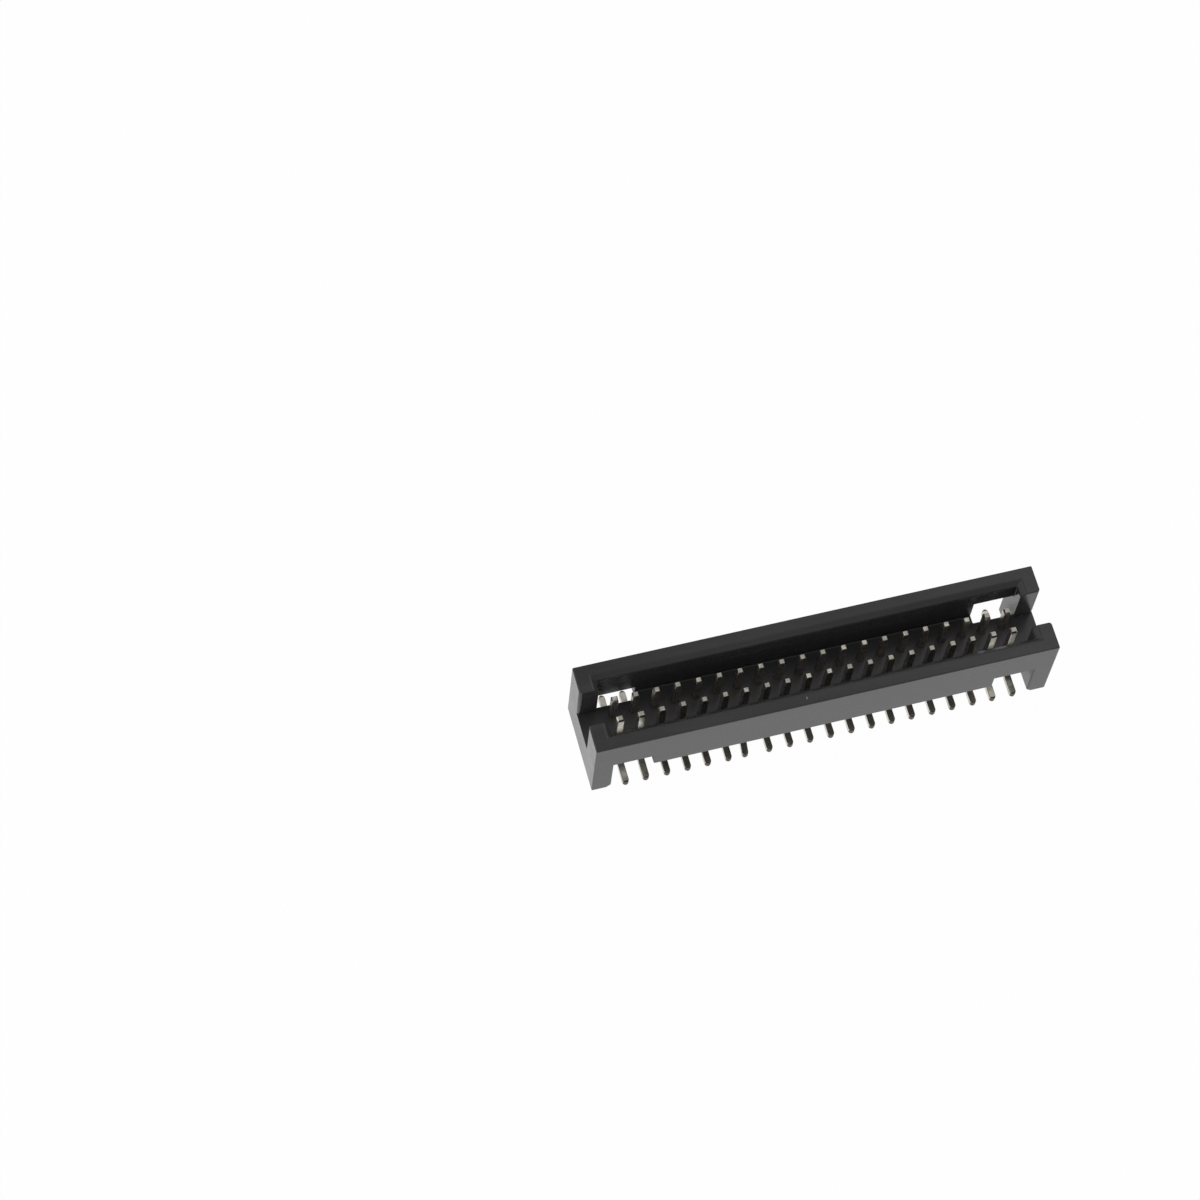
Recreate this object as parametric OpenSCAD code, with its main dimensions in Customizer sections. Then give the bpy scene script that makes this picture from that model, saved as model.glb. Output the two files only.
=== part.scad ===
// Shrouded surface-mount pin header, two rows at 1.27 mm pitch.
//
// One moulded housing stands on its two end feet and holds two rows of square-wire contacts.
// X runs along the rows, Y across them, and Z = 0 is the board. The origin is midway between the feet.

/* [Contacts] */
// Number of contacts in each row
positions = 20; // [4:1:28]
// Distance between neighbouring contacts in a row
pitch = 1.27; // [1.2:0.01:1.5]
// Distance between the two rows
row_pitch = 1.27; // [1.15:0.01:1.5]
// Side of the square contact wire
wire = 0.4; // [0.3:0.01:0.5]
// Flat left on top of each tapered tip
tip_flat = 0.28; // [0.15:0.01:0.3]
// Height of the taper below each tip
tip_taper = 0.15; // [0.05:0.01:0.4]
// Depth of the tips below the rim
tip_depth = 0.86; // [0.4:0.02:1.4]
// Inside radius of the bend above the board
bend_r = 0.25; // [0.1:0.01:0.4]
// Distance from the centre line to the end of a solder tail
tail_reach = 2.9; // [2.4:0.05:3.6]
// Height of the tails above the plane of the feet
tail_lift = 0.02; // [0:0.01:0.1]
// Clearance on each side of a contact in its hole
hole_play = 0.005; // [0.002:0.001:0.03]
// Which front contact has its tail knocked sideways
bent_contact = 7; // [1:1:20]
// Angle of the knocked tail
bent_angle = 7; // [0:0.5:12]

/* [Housing] */
// Height of the rim above the board
height = 5.72; // [5:0.02:7]
// Thickness of the long walls
side_wall = 1.03; // [0.7:0.01:1.3]
// Width of the cavity between the long walls
cavity_w = 3.46; // [3.2:0.02:4]
// Distance from the last contact to the end of the cavity
end_margin = 0.875; // [0.7:0.005:1.1]
// Thickness of the end walls and their feet
end_wall = 1.19; // [0.9:0.01:1.6]
// Height of the underside above the board
standoff = 2.05; // [1.2:0.05:2.3]
// Thickness of the floor that holds the contacts
floor_t = 0.6; // [0.4:0.05:0.8]
// Lead-in chamfer around the mouth of the cavity
rim_chamfer = 0.3; // [0.1:0.02:0.4]
// Chamfer on the inner edge of each foot
foot_chamfer = 0.28; // [0.1:0.02:0.4]

/* [Openings] */
// Length of each opening beside the feet
window_l = 2.48; // [2:0.02:2.6]
// Height of the opening's ceiling above the board
window_top = 3.15; // [2.9:0.05:3.6]
// Height of the one taller opening, at the back on the right
tall_window_top = 4.2; // [3.3:0.05:4.6]
// Gap that each opening leaves between the wall and the floor
floor_gap = 0.47; // [0.2:0.01:0.6]
// Width of the slot in each end wall
slot_w = 2.05; // [1.4:0.05:2.6]
// Corner radius at the outer mouth of each slot
slot_mouth_r = 0.2; // [0.05:0.01:0.4]

/* [Hidden] */
$fn = 48;
eps = 0.5;
FRONT = -1;
BACK = 1;
ROWS = [["front", FRONT], ["back", BACK]];

row_half = (positions - 1) * pitch / 2;
cavity_end = row_half + end_margin;
length = 2 * (cavity_end + end_wall);
width = cavity_w + 2 * side_wall;
floor_top = standoff + floor_t;
tip_z = height - tip_depth;
bend_x = wire / 2 + bend_r;
bend_top = wire + bend_r;

function contact_x(i) = (i - (positions + 1) / 2) * pitch;
function contact_name(row, i) = str("contact_", row, i < 10 ? "_0" : "_", i);

// ---- housing ----

// Side outline: a deck on two end feet, each with a chamfered inner edge.
module housing_outline() {
    half = length / 2;
    polygon([
        [-half, height], [-half, 0],
        [-cavity_end - foot_chamfer, 0], [-cavity_end, foot_chamfer], [-cavity_end, standoff],
        [cavity_end, standoff], [cavity_end, foot_chamfer], [cavity_end + foot_chamfer, 0],
        [half, 0], [half, height]
    ]);
}

// A trapezoid that widens by the lead-in chamfer at the rim.
module chamfer_outline(half) {
    polygon([
        [-half, height - rim_chamfer], [half, height - rim_chamfer],
        [half + rim_chamfer + eps, height + eps], [-half - rim_chamfer - eps, height + eps]
    ]);
}

// The cavity with its lead-in, which is the meeting of two trapezoid bars.
module cavity() {
    translate([-cavity_end, -cavity_w / 2, floor_top])
        cube([2 * cavity_end, cavity_w, height]);
    intersection() {
        rotate([90, 0, 0]) linear_extrude(2 * width, center = true) chamfer_outline(cavity_end);
        rotate([90, 0, 90]) linear_extrude(2 * length, center = true) chamfer_outline(cavity_w / 2);
    }
}

// An opening in one long wall beside a foot. It also trims the edge of the floor.
module window(end, side, top) {
    inner = cavity_w / 2 - floor_gap;
    translate([end > 0 ? cavity_end - window_l : -cavity_end, side > 0 ? inner : -width, -eps])
        cube([window_l, width - inner, top + eps]);
}

// Plan of an end slot, with its outer corners rounded.
module slot_plan() {
    depth = end_wall + eps;
    translate([cavity_end - eps, -slot_w / 2]) square([depth + eps, slot_w]);
    for (side = [-1, 1]) {
        translate([length / 2, side * (slot_w / 2 + slot_mouth_r)]) difference() {
            translate([-slot_mouth_r, side > 0 ? -slot_mouth_r : 0]) square(slot_mouth_r);
            translate([-slot_mouth_r, 0]) circle(slot_mouth_r);
        }
    }
}

// The slot that splits the right end wall, down to the cavity's floor.
module end_slot() {
    translate([0, 0, floor_top]) linear_extrude(height) slot_plan();
}

// One square hole through the floor for each contact.
module contact_holes() {
    hole = wire + 2 * hole_play;
    for (row = ROWS) for (i = [1:positions]) {
        translate([contact_x(i) - hole / 2, row[1] * row_pitch / 2 - hole / 2, standoff - eps])
            cube([hole, hole, floor_t + 2 * eps]);
    }
}

module housing() color("#2c2c2e") difference() {
    rotate([90, 0, 0]) linear_extrude(width, center = true) housing_outline();
    cavity();
    for (end = [-1, 1]) window(end, FRONT, window_top);
    window(-1, BACK, window_top);
    window(1, BACK, tall_window_top);
    end_slot();
    rotate([0, 0, 180]) end_slot();
    contact_holes();
}

// ---- contacts ----

// Outline of the upright leg, seen from either side.
module leg_outline() {
    half = wire / 2;
    polygon([
        [-half, bend_top], [half, bend_top],
        [half, tip_z - tail_lift - tip_taper], [tip_flat / 2, tip_z - tail_lift],
        [-tip_flat / 2, tip_z - tail_lift], [-half, tip_z - tail_lift - tip_taper]
    ]);
}

// The leg above the bend, with all four sides of its tip tapered.
module leg() {
    intersection() {
        rotate([90, 0, 0]) linear_extrude(wire, center = true) leg_outline();
        rotate([90, 0, 90]) linear_extrude(wire, center = true) leg_outline();
    }
}

// Side outline of the tail: a quarter turn, then a straight run on the board.
module tail_outline(run) {
    outer = bend_r + wire;
    translate([bend_x, bend_top]) intersection() {
        difference() {
            circle(outer);
            circle(bend_r);
        }
        translate([-outer, -outer]) square(outer);
    }
    translate([bend_x, 0]) square([run - bend_x, wire]);
}

// Plan of the tail, with a full-round end.
module tail_plan(run) {
    translate([-wire / 2, -wire]) square([wire, run + wire / 2]);
    translate([0, run - wire / 2]) circle(wire / 2);
}

// The bend and the tail, pointing along +Y from the leg.
module tail() {
    run = tail_reach - row_pitch / 2;
    intersection() {
        rotate([90, 0, 90]) linear_extrude(wire, center = true) tail_outline(run);
        linear_extrude(bend_top) tail_plan(run);
    }
}

// One contact of a row. Its tail points away from the other row.
module contact(side, i) {
    yaw = side == FRONT && i == bent_contact ? -bent_angle : 0;
    color("#c9c2ae")
        translate([contact_x(i), side * row_pitch / 2, tail_lift])
            rotate([0, 0, side == FRONT ? 180 : 0]) {
                leg();
                rotate([0, 0, yaw]) tail();
            }
}

housing();
for (row = ROWS) for (i = [1:positions]) {
    contact(row[1], i);
}
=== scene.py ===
"""The finished look of a shrouded surface-mount pin header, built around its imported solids.

The housing is dressed as one black moulding with softened edges. The contacts are plated square wire. A
Geometry Nodes tree sets out both rows of them, and the one whose tail was knocked is a piece of its own. The
header stands on a light table between two soft lamps. All lengths are in metres.
"""

import logging
import math
from dataclasses import dataclass, field
from enum import Enum
from typing import Any, NamedTuple, Optional, Sequence, Union

import bmesh
import bpy
from mathutils import Matrix, Vector


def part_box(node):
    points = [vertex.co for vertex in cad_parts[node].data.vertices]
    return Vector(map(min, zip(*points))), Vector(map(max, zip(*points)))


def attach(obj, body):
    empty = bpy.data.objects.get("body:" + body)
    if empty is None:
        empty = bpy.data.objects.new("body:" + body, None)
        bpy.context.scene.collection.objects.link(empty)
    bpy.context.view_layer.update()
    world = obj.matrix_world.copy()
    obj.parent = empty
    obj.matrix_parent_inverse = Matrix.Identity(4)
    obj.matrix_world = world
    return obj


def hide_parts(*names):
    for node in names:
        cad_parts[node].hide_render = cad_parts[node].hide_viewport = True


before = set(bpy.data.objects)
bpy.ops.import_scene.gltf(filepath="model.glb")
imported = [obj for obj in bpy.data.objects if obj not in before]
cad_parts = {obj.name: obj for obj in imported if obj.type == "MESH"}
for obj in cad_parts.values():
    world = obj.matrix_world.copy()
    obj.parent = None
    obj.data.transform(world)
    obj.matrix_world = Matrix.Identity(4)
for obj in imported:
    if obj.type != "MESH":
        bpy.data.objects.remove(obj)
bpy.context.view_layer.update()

MM = 0.001
BODY = "root"
log = logging.getLogger("header")

Number = Union[int, float]
Band = tuple[float, float]
Colour = tuple[float, float, float, float]


class Row(Enum):
    """The two rows of contacts. The value is the side of the centre line that the row's tails point to."""

    FRONT = -1
    BACK = 1

    @property
    def label(self) -> str:
        """The row's word in the names of the solids."""
        return self.name.lower()


class Slot(Enum):
    """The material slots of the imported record."""

    PLASTIC = "housing_plastic"
    METAL = "contact_metal"


# ---------------------------------------------------------------- shader writing


class Wire:
    """A shader socket that can be used in arithmetic."""

    def __init__(self, graph: "Graph", socket: bpy.types.NodeSocket) -> None:
        """Keeps the socket and the graph that it belongs to."""
        self.graph = graph
        self.socket = socket

    def _math(self, operation: str, *operands: Union["Wire", Number]) -> "Wire":
        """Adds a Math node.

        Args:
            operation: The Math node's operation.
            *operands: Its inputs, in order.

        Returns:
            The node's result.
        """
        return self.graph.add("ShaderNodeMath", {"operation": operation}, dict(enumerate(operands)))

    def __add__(self, other: Union["Wire", Number]) -> "Wire":
        """Returns self + other."""
        return self._math("ADD", self, other)

    __radd__ = __add__

    def __sub__(self, other: Union["Wire", Number]) -> "Wire":
        """Returns self - other."""
        return self._math("SUBTRACT", self, other)

    def __rsub__(self, other: Union["Wire", Number]) -> "Wire":
        """Returns other - self."""
        return self._math("SUBTRACT", other, self)

    def __mul__(self, other: Union["Wire", Number]) -> "Wire":
        """Returns self * other."""
        return self._math("MULTIPLY", self, other)

    __rmul__ = __mul__

    def __truediv__(self, other: Union["Wire", Number]) -> "Wire":
        """Returns self / other."""
        return self._math("DIVIDE", self, other)

    def clamp(self) -> "Wire":
        """Returns self limited to 0 to 1."""
        return self._math("MAXIMUM", self._math("MINIMUM", self, 1.0), 0.0)

    def band(self, low: float, high: float) -> "Wire":
        """Returns 0 below low and 1 above high, with a smooth step between them."""
        values = {"Value": self, "From Min": low, "From Max": high}
        return self.graph.add("ShaderNodeMapRange", {"interpolation_type": "SMOOTHSTEP"}, values)


class Graph:
    """A node tree for a material or the world, written from Python.

    A Mix node has sockets of one name for each type of data, so its colour sockets go by number.
    """

    MIX_A = 6
    MIX_B = 7
    MIX_RESULT = 2

    def __init__(self, owner: Union[bpy.types.Material, bpy.types.World]) -> None:
        """Empties a node tree, ready for new nodes.

        Args:
            owner: The material or world that the tree belongs to.
        """
        owner.use_nodes = True
        self.tree = owner.node_tree
        self.tree.nodes.clear()

    def add(
        self,
        kind: str,
        settings: Optional[dict[str, Any]] = None,
        inputs: Optional[dict[Union[str, int], Any]] = None,
        output: Union[str, int] = 0,
    ) -> Wire:
        """Adds a node.

        Args:
            kind: The node's type.
            settings: The node's own properties, set before its sockets.
            inputs: A value or a Wire for each socket, by name or number.
            output: The output to return, by name or number.

        Returns:
            The chosen output, or a Wire without a socket if the node has no outputs.
        """
        node = self.tree.nodes.new(kind)
        for name, value in (settings or {}).items():
            setattr(node, name, value)
        for name, value in (inputs or {}).items():
            socket = node.inputs[name]
            if isinstance(value, Wire):
                self.tree.links.new(value.socket, socket)
            else:
                socket.default_value = value
        return Wire(self, node.outputs[output]) if node.outputs else Wire(self, None)

    def mix(self, factor: Union[Wire, Number], a: Any, b: Any) -> Wire:
        """Blends two colours.

        Args:
            factor: 0 for a, 1 for b.
            a: A Wire or an RGBA colour.
            b: A Wire or an RGBA colour.

        Returns:
            The blended colour.
        """
        values = {"Factor": factor, self.MIX_A: a, self.MIX_B: b}
        return self.add("ShaderNodeMix", {"data_type": "RGBA"}, values, self.MIX_RESULT)

    def place(self, scale: Sequence[float]) -> Wire:
        """Returns Object coordinates stretched by a scale along each axis."""
        coordinates = self.add("ShaderNodeTexCoord", output="Object")
        return self.add("ShaderNodeMapping", None, {"Vector": coordinates, "Scale": scale})

    def noise(self, size: Sequence[float], detail: float = 3.0) -> Wire:
        """Returns noise whose features have a size along each axis, in metres."""
        vector = self.place([1.0 / s for s in size])
        return self.add("ShaderNodeTexNoise", None, {"Vector": vector, "Scale": 1.0, "Detail": detail})

    def axes(self) -> tuple[Wire, Wire, Wire]:
        """Splits Object coordinates.

        Returns:
            Their X, Y and Z.
        """
        coordinates = self.add("ShaderNodeTexCoord", output="Object")
        split = self.add("ShaderNodeSeparateXYZ", None, {"Vector": coordinates}).socket.node
        return tuple(Wire(self, split.outputs[axis]) for axis in "XYZ")


def rgba(red: float, green: float, blue: float) -> Colour:
    """Returns an opaque colour."""
    return (red, green, blue, 1.0)


@dataclass(frozen=True)
class MouldedPlastic:
    """Black glass-filled plastic as it leaves the mould: satin, faintly mottled, with a little dust.

    The mottle follows the plastic's flow along the part, and the grain of the mould lies over it.
    """

    name: str = "housing_plastic"
    dark: Colour = rgba(0.028, 0.028, 0.0291)
    light: Colour = rgba(0.041, 0.041, 0.0425)
    ior: float = 1.41
    roughness: float = 0.15
    flow_roughness: float = 0.13
    grain_roughness: float = 0.06
    flow: float = 1.1 * MM
    flow_stretch: float = 5.0
    flow_share: float = 0.7
    grain: float = 0.045 * MM
    grain_share: float = 0.3
    grain_detail: float = 2.0
    mottle: Band = (0.35, 0.68)
    fine_height: float = 0.8
    coarse_grain: float = 3.0
    coarse_height: float = 0.4
    bump: float = 0.34
    relief: float = 0.01 * MM
    dust: Colour = rgba(0.20, 0.19, 0.175)
    dust_cell: float = 0.9 * MM
    dust_edge: Band = (0.02, 0.06)
    dust_chance: Band = (0.72, 0.74)
    dust_facing: Band = (0.6, 0.9)
    dust_cover: float = 0.5
    fleck_half_width: float = 0.045 * MM
    fleck_half_length: float = 0.1 * MM
    fleck_edge: Band = (0.5, 1.2)
    side_fleck: float = 0.4

    def build(self, flecks: Sequence[Vector]) -> bpy.types.Material:
        """Makes the material.

        Args:
            flecks: Where the few flecks of lint lie.

        Returns:
            The new material.
        """
        material = bpy.data.materials.new(self.name)
        g = Graph(material)
        flow = g.noise([self.flow_stretch * self.flow, self.flow, self.flow])
        grain = g.noise([self.grain] * 3, self.grain_detail)
        mottle = (flow * self.flow_share + grain * self.grain_share).band(*self.mottle)
        colour = g.mix(mottle, self.dark, self.light)
        colour = g.mix(self._dust(g, flecks), colour, self.dust)
        coarse = g.noise([self.coarse_grain * self.grain] * 3)
        height = grain * self.fine_height + coarse * self.coarse_height
        relief = {"Strength": self.bump, "Distance": self.relief, "Height": height}
        values = {
            "Base Color": colour,
            "Roughness": self.roughness + flow * self.flow_roughness + grain * self.grain_roughness,
            "IOR": self.ior,
            "Normal": g.add("ShaderNodeBump", None, relief),
        }
        g.add("ShaderNodeOutputMaterial", None, {0: g.add("ShaderNodeBsdfPrincipled", None, values)})
        return material

    def _dust(self, g: Graph, flecks: Sequence[Vector]) -> Wire:
        """Makes the mask of the dust, which lies thinly on faces that look up.

        Args:
            g: The material's graph.
            flecks: Where the flecks of lint lie, which also cling to upright faces.

        Returns:
            1 where the plastic is covered.
        """
        cells = {"Vector": g.place([1.0 / self.dust_cell] * 3), "Scale": 1.0}
        near = g.add("ShaderNodeTexVoronoi", None, cells, "Distance")
        chance = g.add("ShaderNodeTexVoronoi", None, cells, "Color")
        normal = g.add("ShaderNodeNewGeometry", output="Normal")
        upward = g.add("ShaderNodeSeparateXYZ", None, {"Vector": normal}, "Z")
        speck = (1 - near.band(*self.dust_edge)) * chance.band(*self.dust_chance)
        mask = speck * upward.band(*self.dust_facing) * self.dust_cover
        x, y, z = g.axes()
        for place in flecks:
            across = (x - place.x) / self.fleck_half_width
            along = (y - place.y) / self.fleck_half_length
            rise = (z - place.z) / self.fleck_half_length
            lint = 1 - (across * across + along * along + rise * rise).band(*self.fleck_edge)
            mask = mask + lint * (self.side_fleck + (1 - self.side_fleck) * upward)
        return mask.clamp()


@dataclass(frozen=True)
class TinPlate:
    """Tin on drawn square wire, with fine die lines. The sheared tips are duller. The tails' round ends are
    painted shade: near-black and mostly non-metallic, so they show no bright reflection.

    A Band of depths is measured back from the tip or from the tail's end.
    """

    name: str = "contact_metal"
    bright: Colour = rgba(0.66, 0.64, 0.58)
    dull: Colour = rgba(0.44, 0.41, 0.35)
    sheared: Colour = rgba(0.35, 0.335, 0.29)
    # Painted shade: the near-black colour given to the tails' round ends, where they would show a bright
    # reflection.
    bare: Colour = rgba(0.085, 0.075, 0.06)
    roughness: float = 0.24
    patch_roughness: float = 0.12
    cut_roughness: float = 0.12
    # Painted shade: the tails' round ends are also made rougher and mostly non-metallic, which keeps their
    # reflection dark.
    bare_roughness: float = 0.25
    bare_dielectric: float = 0.8
    patch: float = 0.5 * MM
    patch_share: float = 0.8
    die_line: float = 0.035 * MM
    die_line_stretch: float = 40.0
    die_line_detail: float = 1.0
    die_line_share: float = 0.3
    tarnish: Band = (0.4, 0.75)
    cut_depth: Band = (0.02 * MM, 0.005 * MM)
    cut_cover: float = 0.8
    cut_patch: Band = (0.5, 0.66)
    bare_depth: Band = (0.14 * MM, 0.07 * MM)
    bump: float = 0.12
    relief: float = 0.004 * MM

    def build(self, tip_height: float, tail_reach: float) -> bpy.types.Material:
        """Makes the material.

        Args:
            tip_height: The height of the contacts' sheared tops.
            tail_reach: How far the tails' sheared ends lie from the middle of the header.

        Returns:
            The new material.
        """
        material = bpy.data.materials.new(self.name)
        g = Graph(material)
        length = self.die_line_stretch * self.die_line
        lines = g.noise([self.die_line, length, length], self.die_line_detail)
        patches = g.noise([self.patch] * 3)
        _, y, z = g.axes()
        cut = z.band(*(tip_height - depth for depth in self.cut_depth))
        # Painted shade: this mask picks out the last tenth of a millimetre or so of each tail, which is
        # turned dark below.
        end = (y * y).band(*((tail_reach - depth) ** 2 for depth in self.bare_depth))
        tarnish = (patches * self.patch_share + lines * self.die_line_share).band(*self.tarnish)
        colour = g.mix(tarnish, self.bright, self.dull)
        cut_colour = g.mix(patches.band(*self.cut_patch), self.sheared, self.bright)
        colour = g.mix(cut * self.cut_cover, colour, cut_colour)
        # Painted shade: the tails' round ends take the near-black colour instead of the plating.
        colour = g.mix(end, colour, self.bare)
        wear = patches * self.patch_roughness + cut * self.cut_roughness + end * self.bare_roughness
        relief = {"Strength": self.bump, "Distance": self.relief, "Height": lines}
        values = {
            "Base Color": colour,
            "Metallic": 1 - end * self.bare_dielectric,
            "Roughness": self.roughness + wear,
            "Normal": g.add("ShaderNodeBump", None, relief),
        }
        g.add("ShaderNodeOutputMaterial", None, {0: g.add("ShaderNodeBsdfPrincipled", None, values)})
        return material


# ---------------------------------------------------------------- the header


@dataclass
class Housing:
    """The moulded box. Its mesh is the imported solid's, with its edges softened as a mould leaves them.

    Edges that turn by less than edge_angle stay as they are, and so do those round the contacts' holes.
    """

    node: str = "housing"
    first_contact: str = "contact_back_01"
    edge_radius: float = 0.07 * MM
    edge_steps: int = 2
    edge_profile: float = 0.5
    edge_angle: float = math.radians(25)
    merge: float = 0.0005 * MM
    flat: float = math.radians(0.5)
    hole_margin: float = 0.05 * MM
    floor_top: float = 2.65 * MM
    mouth: float = 13.5 * MM
    flecks: tuple[tuple[float, float, float], ...] = (
        (-1.34, -2.33, 5.72),
        (8.54, -2.76, 4.77),
        (-5.58, -2.76, 5.1),
    )

    def build(self, finish: MouldedPlastic) -> bpy.types.Object:
        """Makes and dresses the housing.

        Args:
            finish: The plastic's finish.

        Returns:
            The finished piece.
        """
        piece = bpy.data.objects.new("housing_shell", self._soft_mesh())
        bpy.context.scene.collection.objects.link(piece)
        piece.data.materials.append(finish.build([Vector(place) * MM for place in self.flecks]))
        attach(piece, BODY)
        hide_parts(self.node)
        return piece

    def _soft_mesh(self) -> bpy.types.Mesh:
        """Rounds the edges of a copy of the solid's mesh.

        The floor keeps the solid's triangles round the contacts, because a flat face can't have holes in it.
        The curved mouths of the end slots stay sharp where they meet the slots' floor.

        Returns:
            The new mesh.
        """
        shape = bmesh.new()
        shape.from_mesh(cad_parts[self.node].data)
        bmesh.ops.remove_doubles(shape, verts=shape.verts, dist=self.merge)
        first_low, first_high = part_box(self.first_contact)
        holes_x = -first_low.x + self.hole_margin
        holes_y = first_low.y + (first_high.x - first_low.x) + self.hole_margin
        at_hole = {v for v in shape.verts if abs(v.co.x) < holes_x and abs(v.co.y) < holes_y}
        free = [e for e in shape.edges if not at_hole.intersection(e.verts)]
        outer = [v for v in shape.verts if v not in at_hole]
        bmesh.ops.dissolve_limit(shape, angle_limit=self.flat, verts=outer, edges=free)
        mouth_floor = {
            v for v in shape.verts if abs(v.co.z - self.floor_top) < self.merge and abs(v.co.x) > self.mouth
        }
        sharp = [
            e
            for e in shape.edges
            if not at_hole.intersection(e.verts)
            and not mouth_floor.issuperset(e.verts)
            and e.calc_face_angle(0.0) > self.edge_angle
        ]
        bmesh.ops.bevel(
            shape,
            geom=sharp,
            offset=self.edge_radius,
            offset_type="OFFSET",
            segments=self.edge_steps,
            profile=self.edge_profile,
            affect="EDGES",
            clamp_overlap=False,
        )
        bmesh.ops.recalc_face_normals(shape, faces=shape.faces)
        mesh = bpy.data.meshes.new("housing_shell")
        shape.to_mesh(mesh)
        shape.free()
        return mesh


class Station(NamedTuple):
    """One section of a swept wire: its centre, its two directions and its size along each of them."""

    centre: Vector
    across: Vector
    up: Vector
    width: float
    height: float


@dataclass
class Contact:
    """One square wire: a tapered tip, a leg, a bend and a flat tail with a round end.

    Its origin is on the leg's axis at the plane of the board, and its tail points along +Y.
    """

    wire: float
    tip: float
    run: float
    lift: float
    bend: float = 0.25 * MM
    taper: float = 0.15 * MM
    taper_blend: float = 0.25
    tip_flat: float = 0.28 * MM
    tip_edge: float = 0.02 * MM
    tip_edge_depth: float = 0.3
    corner: float = 0.035 * MM
    corner_limit: float = 0.45
    corner_steps: int = 2
    bend_steps: int = 8
    end_steps: int = 6
    end_turn: float = 0.93

    def mesh(self, name: str, yaw: float = 0.0) -> bpy.types.Mesh:
        """Sweeps the wire's section along its path.

        Args:
            name: The mesh's name.
            yaw: How far the tail is turned sideways about the leg.

        Returns:
            The closed mesh.
        """
        shape = bmesh.new()
        rings = []
        for station in self._stations(yaw):
            points = self._section(station.width, station.height)
            places = [station.centre + station.across * u + station.up * v for u, v in points]
            rings.append([shape.verts.new(place) for place in places])
        for a, b in zip(rings, rings[1:]):
            for i in range(len(a)):
                j = (i + 1) % len(a)
                shape.faces.new((a[i], a[j], b[j], b[i]))
        shape.faces.new(reversed(rings[0]))
        shape.faces.new(rings[-1])
        bmesh.ops.recalc_face_normals(shape, faces=shape.faces)
        mesh = bpy.data.meshes.new(name)
        shape.to_mesh(mesh)
        shape.free()
        return mesh

    def _section(self, width: float, height: float) -> list[tuple[float, float]]:
        """Draws the wire's section, a rectangle with round corners.

        Args:
            width: The section's size across.
            height: Its size upwards.

        Returns:
            Its outline, anticlockwise.
        """
        radius = min(self.corner, self.corner_limit * width, self.corner_limit * height)
        points = []
        for quarter, (su, sv) in enumerate(((1, 1), (-1, 1), (-1, -1), (1, -1))):
            for step in range(self.corner_steps + 1):
                angle = math.pi / 2 * (quarter + step / self.corner_steps)
                u = su * (width / 2 - radius) + radius * math.cos(angle)
                v = sv * (height / 2 - radius) + radius * math.sin(angle)
                points.append((u, v))
        return points

    def _stations(self, yaw: float) -> list[Station]:
        """Follows the wire from the tip to the tail's end.

        Args:
            yaw: How far the tail is turned sideways about the leg.

        Returns:
            The sections along the path.
        """
        w = self.wire
        x_axis = Vector((1, 0, 0))
        y_axis = Vector((0, 1, 0))
        z_axis = Vector((0, 0, 1))
        blend = self.taper_blend * self.taper
        tip_and_leg = (
            (self.tip, self.tip_flat - self.tip_edge),
            (self.tip - blend * self.tip_edge_depth, self.tip_flat),
            (self.tip - self.taper, w),
            (self.tip - self.taper - blend, w),
        )
        stations = [Station(z_axis * z, x_axis, y_axis, side, side) for z, side in tip_and_leg]
        turn = Matrix.Rotation(yaw, 3, "Z")
        radius = self.bend + w / 2
        centre = Vector((0, radius, self.lift + w / 2 + radius))
        for step in range(self.bend_steps + 1):
            angle = math.pi / 2 * step / self.bend_steps
            outward = Vector((0, -math.cos(angle), -math.sin(angle)))
            place = turn @ (centre + outward * radius)
            stations.append(Station(place, turn @ x_axis, turn @ -outward, w, w))
        last = self.run - w / 2
        for step in range(self.end_steps + 1):
            angle = math.pi / 2 * step / self.end_steps * self.end_turn
            place = turn @ Vector((0, last + w / 2 * math.sin(angle), self.lift + w / 2))
            stations.append(Station(place, turn @ x_axis, z_axis, w * math.cos(angle), w))
        return stations


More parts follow.
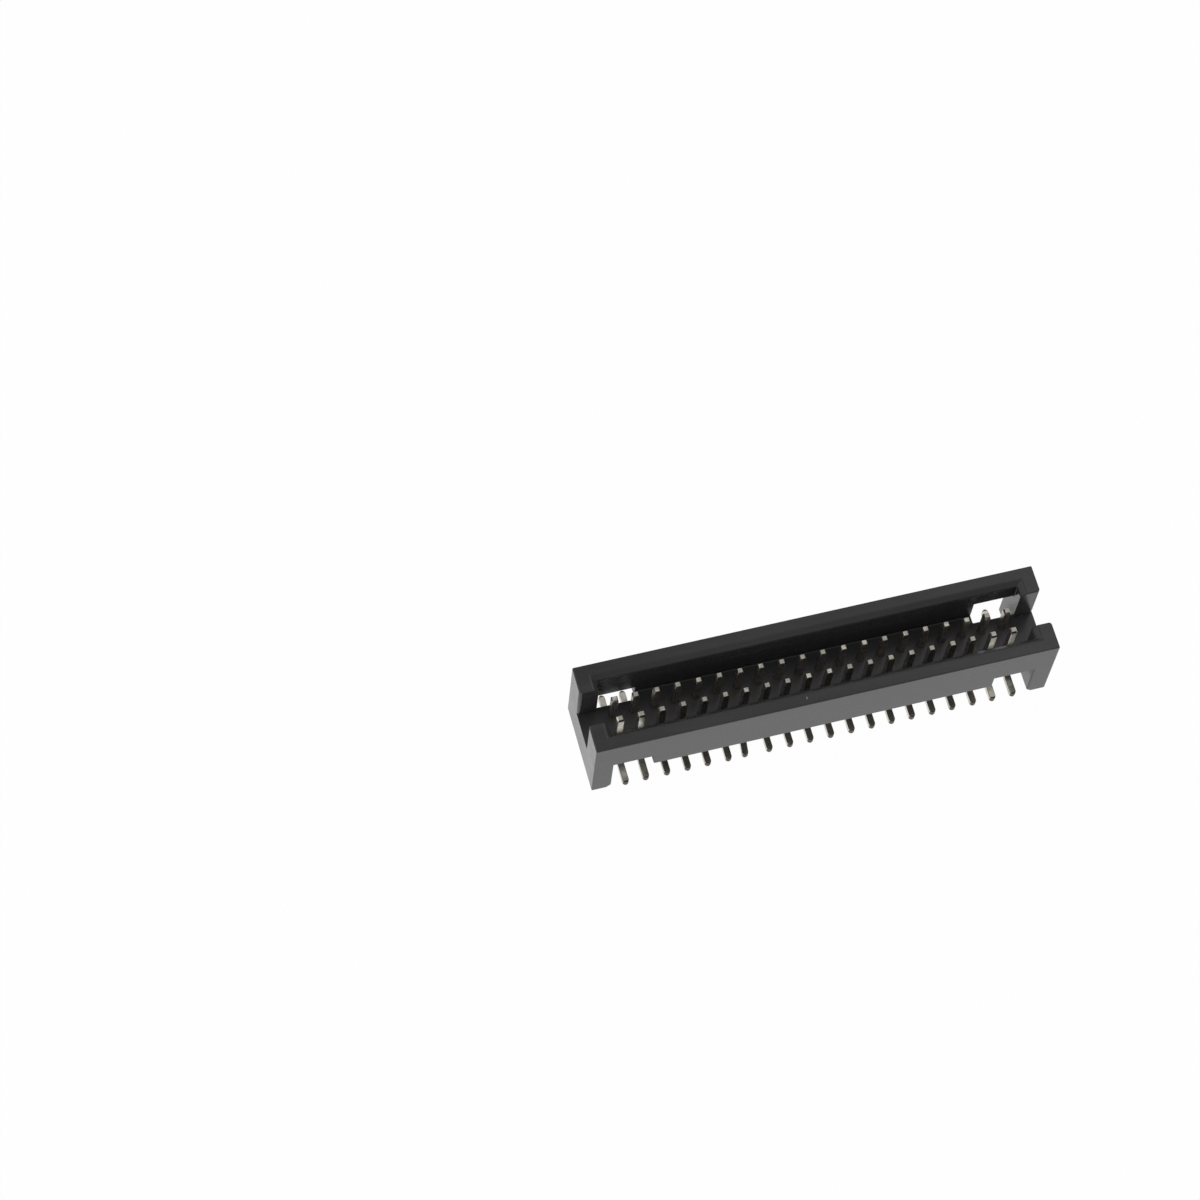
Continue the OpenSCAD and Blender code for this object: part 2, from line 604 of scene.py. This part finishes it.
@dataclass
class ContactRows:
    """Both rows of contacts. A Geometry Nodes tree lays them out, and the knocked one is its own piece."""

    count: int = 20
    knocked: int = 7
    knock: float = math.radians(7)
    tilt: float = math.radians(0.35)
    pivot: float = 2.0 * MM
    seed: int = 11
    contact: Contact = field(init=False)
    pitch: float = field(init=False)
    row_pitch: float = field(init=False)

    def __post_init__(self) -> None:
        """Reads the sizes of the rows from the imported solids."""
        first_low, first_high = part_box(self._node(Row.BACK, 1))
        last_low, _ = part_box(self._node(Row.BACK, self.count))
        wire = first_high.x - first_low.x
        self.pitch = (last_low.x - first_low.x) / (self.count - 1)
        self.row_pitch = 2 * (first_low.y + wire / 2)
        lean_room = self.pivot * math.tan(self.tilt)
        run = first_high.y - self.row_pitch / 2 - lean_room
        self.contact = Contact(wire=wire, tip=first_high.z, run=run, lift=first_low.z)

    def _node(self, row: Row, number: int) -> str:
        """Returns the name of one contact's solid."""
        return f"contact_{row.label}_{number:02d}"

    def _x(self, number: int) -> float:
        """Returns a contact's place along its row."""
        return (number - (self.count + 1) / 2) * self.pitch

    def build(self, finish: TinPlate) -> list[bpy.types.Object]:
        """Makes and dresses all contacts.

        Args:
            finish: The plating's finish.

        Returns:
            The rows, and the knocked contact.
        """
        material = finish.build(self.contact.tip, self.row_pitch / 2 + self.contact.run)
        rows = self._rows(material)
        nodes = [self._node(row, n) for row in Row for n in range(1, self.count + 1)]
        bent = self._node(Row.FRONT, self.knocked)
        nodes.remove(bent)
        knocked = self._knocked(material)
        for piece, solids in ((rows, nodes), (knocked, [bent])):
            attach(piece, BODY)
            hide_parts(*solids)
        return [rows, knocked]

    def _knocked(self, material: bpy.types.Material) -> bpy.types.Object:
        """Makes the contact whose tail was knocked sideways.

        Args:
            material: The plating.

        Returns:
            The dressed piece.
        """
        mesh = self.contact.mesh("knocked_contact", -self.knock)
        mesh.transform(Matrix.Rotation(math.pi, 4, "Z"))
        mesh.transform(Matrix.Translation((self._x(self.knocked), Row.FRONT.value * self.row_pitch / 2, 0)))
        mesh.materials.append(material)
        piece = bpy.data.objects.new("knocked_contact", mesh)
        bpy.context.scene.collection.objects.link(piece)
        return piece

    def _rows(self, material: bpy.types.Material) -> bpy.types.Object:
        """Makes both rows with the row tree, without the knocked contact.

        Args:
            material: The plating.

        Returns:
            The dressed piece, with no modifiers.
        """
        piece = bpy.data.objects.new("contact_rows", self.contact.mesh("contact_rows"))
        bpy.context.scene.collection.objects.link(piece)
        values = {
            "Count": self.count,
            "Pitch": self.pitch,
            "Row Pitch": self.row_pitch,
            "Missing": self.knocked - 1,
            "Pivot": self.pivot,
            "Tilt": self.tilt,
            "Seed": self.seed,
            "Material": material,
        }
        tree = RowTree().build()
        modifier = piece.modifiers.new("rows", "NODES")
        modifier.node_group = tree
        for item in tree.interface.items_tree:
            if item.item_type == "SOCKET" and item.in_out == "INPUT" and item.name in values:
                modifier[item.identifier] = values[item.name]
        return freeze(piece)


class RowTree:
    """The Geometry Nodes tree that sets out one contact along two rows.

    Some nodes have sockets of one name for each type of data, so those sockets go by number.
    """

    SOCKETS = {
        "Geometry": "NodeSocketGeometry",
        "Count": "NodeSocketInt",
        "Pitch": "NodeSocketFloat",
        "Row Pitch": "NodeSocketFloat",
        "Missing": "NodeSocketInt",
        "Pivot": "NodeSocketFloat",
        "Tilt": "NodeSocketFloat",
        "Seed": "NodeSocketInt",
        "Material": "NodeSocketMaterial",
    }
    COMPARE_INTEGERS = (2, 3)
    RANDOM_LIMITS = (2, 3)
    RANDOM_RESULT = 1
    AXES = 3

    def __init__(self) -> None:
        """Makes the empty tree with its named inputs."""
        self.tree = bpy.data.node_groups.new("contact_rows", "GeometryNodeTree")
        for name, kind in self.SOCKETS.items():
            self.tree.interface.new_socket(name, in_out="INPUT", socket_type=kind)
        self.tree.interface.new_socket("Geometry", in_out="OUTPUT", socket_type="NodeSocketGeometry")
        self.given = self.tree.nodes.new("NodeGroupInput").outputs

    def build(self) -> bpy.types.NodeTree:
        """Fills the tree.

        Returns:
            The node group.
        """
        down = self._vector(Z=self._math("MULTIPLY", self.given["Pivot"], -1.0))
        lowered = self._node("GeometryNodeTransform", Geometry=self.given["Geometry"], Translation=down)
        joined = self._node("GeometryNodeJoinGeometry")
        for row in Row:
            self.tree.links.new(self._row(row, lowered.outputs[0]), joined.inputs[0])
        real = self._node("GeometryNodeRealizeInstances", Geometry=joined.outputs[0])
        values = {"Geometry": real.outputs[0], "Material": self.given["Material"]}
        dressed = self._node("GeometryNodeSetMaterial", **values)
        self._node("NodeGroupOutput", Geometry=dressed.outputs[0])
        return self.tree

    def _row(self, row: Row, contact: bpy.types.NodeSocket) -> bpy.types.NodeSocket:
        """Sets out one row.

        Args:
            row: Which row it is.
            contact: The contact's geometry, with its origin at the pivot.

        Returns:
            The row's instances.
        """
        given = self.given
        half_run = self._math("MULTIPLY", self._math("SUBTRACT", given["Count"], 1.0), 0.5)
        start_x = self._math("MULTIPLY", self._math("MULTIPLY", half_run, given["Pitch"]), -1.0)
        start_y = self._math("MULTIPLY", given["Row Pitch"], 0.5 * row.value)
        start = self._vector(X=start_x, Y=start_y, Z=given["Pivot"])
        step = self._vector(X=given["Pitch"])
        ends = {"Count": given["Count"], "Start Location": start, "Offset": step}
        points = self._node("GeometryNodeMeshLine", {"mode": "OFFSET"}, **ends).outputs[0]
        if row is Row.FRONT:
            points = self._without_missing(points)
        values = {"Points": points, "Instance": contact, "Rotation": self._lean(row)}
        return self._node("GeometryNodeInstanceOnPoints", **values).outputs[0]

    def _without_missing(self, points: bpy.types.NodeSocket) -> bpy.types.NodeSocket:
        """Takes the missing contact's place out of a row.

        Args:
            points: The places of the whole row.

        Returns:
            The places that stay.
        """
        same = self._node("FunctionNodeCompare", {"data_type": "INT", "operation": "EQUAL"})
        first, second = self.COMPARE_INTEGERS
        self.tree.links.new(self._node("GeometryNodeInputIndex").outputs[0], same.inputs[first])
        self.tree.links.new(self.given["Missing"], same.inputs[second])
        values = {"Geometry": points, "Selection": same.outputs[0]}
        return self._node("GeometryNodeDeleteGeometry", {"domain": "POINT"}, **values).outputs[0]

    def _lean(self, row: Row) -> bpy.types.NodeSocket:
        """Draws each contact's own slight lean, on top of the way its row faces.

        Args:
            row: Which row it is.

        Returns:
            The turn of each contact about the three axes.
        """
        least = self._math("MULTIPLY", self.given["Tilt"], -1.0)
        low, high = self.RANDOM_LIMITS
        lean = []
        for axis in range(self.AXES):
            seed = self._math("ADD", self.given["Seed"], float(axis + self.AXES * (row.value + 1)))
            drawn = self._node("FunctionNodeRandomValue", {"data_type": "FLOAT"}, Seed=seed)
            self.tree.links.new(least, drawn.inputs[low])
            self.tree.links.new(self.given["Tilt"], drawn.inputs[high])
            lean.append(drawn.outputs[self.RANDOM_RESULT])
        facing_turn = 0.0 if row is Row.BACK else math.pi
        return self._vector(X=lean[0], Y=lean[1], Z=self._math("ADD", lean[2], facing_turn))

    def _node(self, kind: str, settings: Optional[dict[str, Any]] = None, **inputs: Any) -> bpy.types.Node:
        """Adds a node, sets its properties, then its sockets.

        Args:
            kind: The node's type.
            settings: The node's own properties.
            **inputs: A socket or a value for each input, by name.

        Returns:
            The new node.
        """
        node = self.tree.nodes.new(kind)
        for name, value in (settings or {}).items():
            setattr(node, name, value)
        for name, value in inputs.items():
            self._feed(node.inputs[name], value)
        return node

    def _feed(self, socket: bpy.types.NodeSocket, value: Any) -> None:
        """Links or sets an input.

        Args:
            socket: The input.
            value: A socket to link, or a value to set.
        """
        if isinstance(value, bpy.types.NodeSocket):
            self.tree.links.new(value, socket)
        else:
            socket.default_value = value

    def _math(self, operation: str, a: Any, b: Any) -> bpy.types.NodeSocket:
        """Adds a Math node.

        Args:
            operation: The Math node's operation.
            a: Its first socket or number.
            b: Its second socket or number.

        Returns:
            The node's result.
        """
        node = self._node("ShaderNodeMath", {"operation": operation})
        self._feed(node.inputs[0], a)
        self._feed(node.inputs[1], b)
        return node.outputs[0]

    def _vector(self, **parts: Any) -> bpy.types.NodeSocket:
        """Returns a vector made of the parts given by axis."""
        return self._node("ShaderNodeCombineXYZ", **parts).outputs[0]


def freeze(piece: bpy.types.Object) -> bpy.types.Object:
    """Makes a piece's modifiers its plain mesh.

    Args:
        piece: The piece to turn into its own result.

    Returns:
        The same object, with no modifiers.
    """
    bpy.context.view_layer.update()
    graph = bpy.context.evaluated_depsgraph_get()
    mesh = bpy.data.meshes.new_from_object(piece.evaluated_get(graph))
    mesh.name = piece.name
    piece.modifiers.clear()
    piece.data = mesh
    return piece


# ---------------------------------------------------------------- the studio


@dataclass(frozen=True)
class SoftBox:
    """A square lamp that faces the header."""

    name: str
    azimuth: float
    elevation: float
    distance: float
    size: float
    radiance: float

    def build(self, target: Vector) -> None:
        """Hangs the lamp.

        Args:
            target: The point that it faces.
        """
        lamp = bpy.data.lights.new(self.name, "AREA")
        lamp.size = self.size
        lamp.energy = self.radiance * math.pi * self.size**2
        holder = bpy.data.objects.new(self.name, lamp)
        away = direction(self.azimuth, self.elevation)
        holder.matrix_world = facing(target + away * self.distance, away, 0.0)
        bpy.context.scene.collection.objects.link(holder)


def direction(azimuth: float, elevation: float) -> Vector:
    """Returns the way from the header to a place.

    Args:
        azimuth: The place's turn round the header in degrees, from the front towards +X.
        elevation: Its height above the table in degrees.

    Returns:
        A vector of length 1.
    """
    turn = math.radians(azimuth)
    rise = math.radians(elevation)
    reach = math.cos(rise)
    return Vector((math.sin(turn) * reach, -math.cos(turn) * reach, math.sin(rise)))


def facing(place: Vector, back: Vector, roll: float) -> Matrix:
    """Returns a matrix for a camera or lamp.

    Args:
        place: Where it is.
        back: The way behind it, opposite to its view.
        roll: Its turn about that line, in degrees.

    Returns:
        The world matrix.
    """
    right = Vector((0, 0, 1)).cross(back).normalized()
    up = back.cross(right)
    turn = Matrix((right, up, back)).transposed().to_4x4()
    return Matrix.Translation(place) @ turn @ Matrix.Rotation(math.radians(roll), 4, "Z")


@dataclass
class Studio:
    """A white light table under an even sky, with soft lamps and the camera."""

    azimuth: float = -21.42
    elevation: float = 64.2
    roll: float = 7.056
    distance: float = 215.5 * MM
    aim: Vector = field(default_factory=lambda: Vector((-10.4, 9.17, 0.0)) * MM)
    lens: float = 106.94
    sensor: float = 36.0
    near: float = 0.01
    far: float = 10.0
    white: Colour = rgba(1, 1, 1)
    table_paint: Colour = rgba(0.9, 0.9, 0.9)
    table_reach: float = 1.5
    table_gap: float = 0.005 * MM
    glow: float = 0.98
    sky: float = 0.50
    lamps: tuple[SoftBox, ...] = (
        SoftBox("left_lamp", azimuth=-95, elevation=40, distance=0.45, size=0.40, radiance=0.75),
        SoftBox("right_lamp", azimuth=116, elevation=58, distance=0.42, size=0.20, radiance=1.0),
    )

    def build(self) -> None:
        """Sets up the camera, the table, the sky and the lamps."""
        self._camera()
        self._table()
        self._sky()
        for lamp in self.lamps:
            lamp.build(Vector((0, 0, 0)))
        bpy.context.scene.view_settings.view_transform = "Standard"

    def _camera(self) -> None:
        """Makes the camera and points it."""
        data = bpy.data.cameras.new("camera")
        data.lens = self.lens
        data.sensor_width = self.sensor
        data.clip_start = self.near
        data.clip_end = self.far
        camera = bpy.data.objects.new("camera", data)
        back = direction(self.azimuth, self.elevation)
        camera.matrix_world = facing(self.aim + back * self.distance, back, self.roll)
        bpy.context.scene.collection.objects.link(camera)
        bpy.context.scene.camera = camera

    def _table(self) -> None:
        """Lays the table: a lit white sheet that still takes a trace of the header's shadow."""
        shape = bmesh.new()
        bmesh.ops.create_grid(shape, x_segments=1, y_segments=1, size=self.table_reach)
        mesh = bpy.data.meshes.new("light_table")
        shape.to_mesh(mesh)
        shape.free()
        mesh.transform(Matrix.Translation((0, 0, -self.table_gap)))
        table = bpy.data.objects.new("light_table", mesh)
        bpy.context.scene.collection.objects.link(table)
        material = bpy.data.materials.new("light_table")
        g = Graph(material)
        paint = g.add("ShaderNodeBsdfDiffuse", None, {"Color": self.table_paint})
        light = g.add("ShaderNodeEmission", None, {"Color": self.white, "Strength": 1.0})
        surface = g.add("ShaderNodeMixShader", None, {0: self.glow, 1: paint, 2: light})
        g.add("ShaderNodeOutputMaterial", None, {0: surface})
        mesh.materials.append(material)

    def _sky(self) -> None:
        """Makes the even sky, which is white to the camera."""
        world = bpy.data.worlds.new("sky")
        bpy.context.scene.world = world
        g = Graph(world)
        camera = g.add("ShaderNodeLightPath", output="Is Camera Ray")
        dim = g.add("ShaderNodeBackground", None, {"Color": self.white, "Strength": self.sky})
        full = g.add("ShaderNodeBackground", None, {"Color": self.white, "Strength": 1.0})
        surface = g.add("ShaderNodeMixShader", None, {0: camera, 1: dim, 2: full})
        g.add("ShaderNodeOutputWorld", None, {0: surface})


def main() -> None:
    """Builds the studio and the header."""
    logging.basicConfig(level=logging.INFO, format="%(name)s: %(message)s")
    Studio().build()
    pieces = [Housing().build(MouldedPlastic()), *ContactRows().build(TinPlate())]
    for piece in pieces:
        log.info("%s: %d faces", piece.name, len(piece.data.polygons))


if __name__ == "__main__":
    main()
